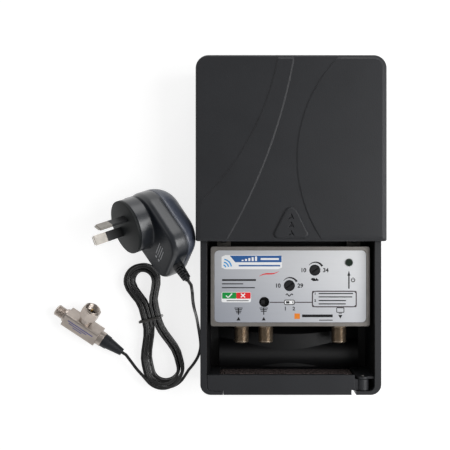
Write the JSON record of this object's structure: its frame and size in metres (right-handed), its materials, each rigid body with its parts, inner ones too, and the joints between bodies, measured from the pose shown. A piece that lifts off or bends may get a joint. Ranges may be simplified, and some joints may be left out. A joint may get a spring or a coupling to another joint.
{
  "type": "tv signal amplifier",
  "caption": "Masthead television amplifier in a slide-open outdoor housing, with plug pack, coiled power lead and power injector",
  "frame": {"origin": "middle of the housing's flat back face, which lies on the table", "axes": "+X across the housing to its gate hinge side, +Y up its length the way the cover is drawn, +Z out of its front"},
  "size_m": [0.2151, 0.214, 0.0491],
  "materials": {
    "housing_plastic": "matte, fine grain",
    "foam": "open-cell foam",
    "case_metal": "satin",
    "label": "satin print",
    "nickel": "satin nickel plate",
    "steel": "bright",
    "gold": "plated",
    "insulator": "white",
    "black_plastic": "matte",
    "white_plastic": "matte",
    "blue_plastic": "matte",
    "led_lens": "clear tinted",
    "board": "solder mask",
    "copper": "enamelled wire",
    "pack_plastic": "satin",
    "lamination": "stacked sheet",
    "cord_rubber": "satin"
  },
  "bodies": {
    "base": {"base_housing": "housing_plastic", "gate_hinge_pin": "steel", "base_foam": "foam", "amp_case": "case_metal", "amp_back_plate": "case_metal", "amp_screws": "steel", "front_label": "label", "uhf_input_port": "nickel", "vhf_input_port": "nickel", "tv_output_port": "nickel", "port_insulators": "insulator", "port_contacts": "gold", "trimmer_bodies": "blue_plastic", "switch_body": "black_plastic", "power_led": "led_lens", "circuit_board": "board", "filter_coils": "copper", "pack_front_shell": "pack_plastic", "plug_face": "black_plastic", "pack_rear_shell": "pack_plastic", "mains_pins": "steel", "pin_sleeves": "black_plastic", "transformer_core": "lamination", "transformer_winding": "copper", "rectifier_board": "board", "strain_relief": "cord_rubber", "cord_lead_in": "cord_rubber", "cord_hank": "cord_rubber", "hank_tie": "black_plastic", "cord_lead_out": "cord_rubber", "injector_boot": "cord_rubber", "injector_ferrule": "nickel", "injector_body": "nickel", "injector_barrel": "nickel", "injector_collar": "nickel", "injector_insulators": "insulator", "injector_contact": "gold", "injector_choke": "board"},
    "cover": {"cover": "housing_plastic"},
    "gate": {"cable_gate": "housing_plastic", "gate_foam": "foam"},
    "uhf_knob": {"uhf_gain_knob": "black_plastic"},
    "vhf_knob": {"vhf_gain_knob": "black_plastic"},
    "switch_slider": {"band_switch_slider": "white_plastic"},
    "nut": {"injector_nut": "nickel"}
  },
  "joints": [
    {"name": "cover_slide", "type": "slide", "parent": "base", "child": "cover", "axis": [0, 1, 0], "range_m": [-0.0955, 0.012]},
    {"name": "gate_hinge", "type": "hinge", "parent": "base", "child": "gate", "pos_m": [0.0449, -0.0495, 0.0335], "axis": [0, 1, 0], "range_deg": [0, 110]},
    {"name": "uhf_gain_turn", "type": "hinge", "parent": "base", "child": "uhf_knob", "pos_m": [0.0154, 0.0214, 0.03], "axis": [0, 0, 1], "range_deg": [-135, 135]},
    {"name": "vhf_gain_turn", "type": "hinge", "parent": "base", "child": "vhf_knob", "pos_m": [-0.0006, 0.0117, 0.03], "axis": [0, 0, 1], "range_deg": [-135, 135]},
    {"name": "band_switch_slide", "type": "slide", "parent": "base", "child": "switch_slider", "axis": [1, 0, 0], "range_m": [0, 0.002]},
    {"name": "nut_spin", "type": "hinge", "parent": "base", "child": "nut", "pos_m": [-0.13065, -0.00758, 0.01196], "axis": [0.5029, 0.7627, 0.4067], "continuous": true}
  ]
}
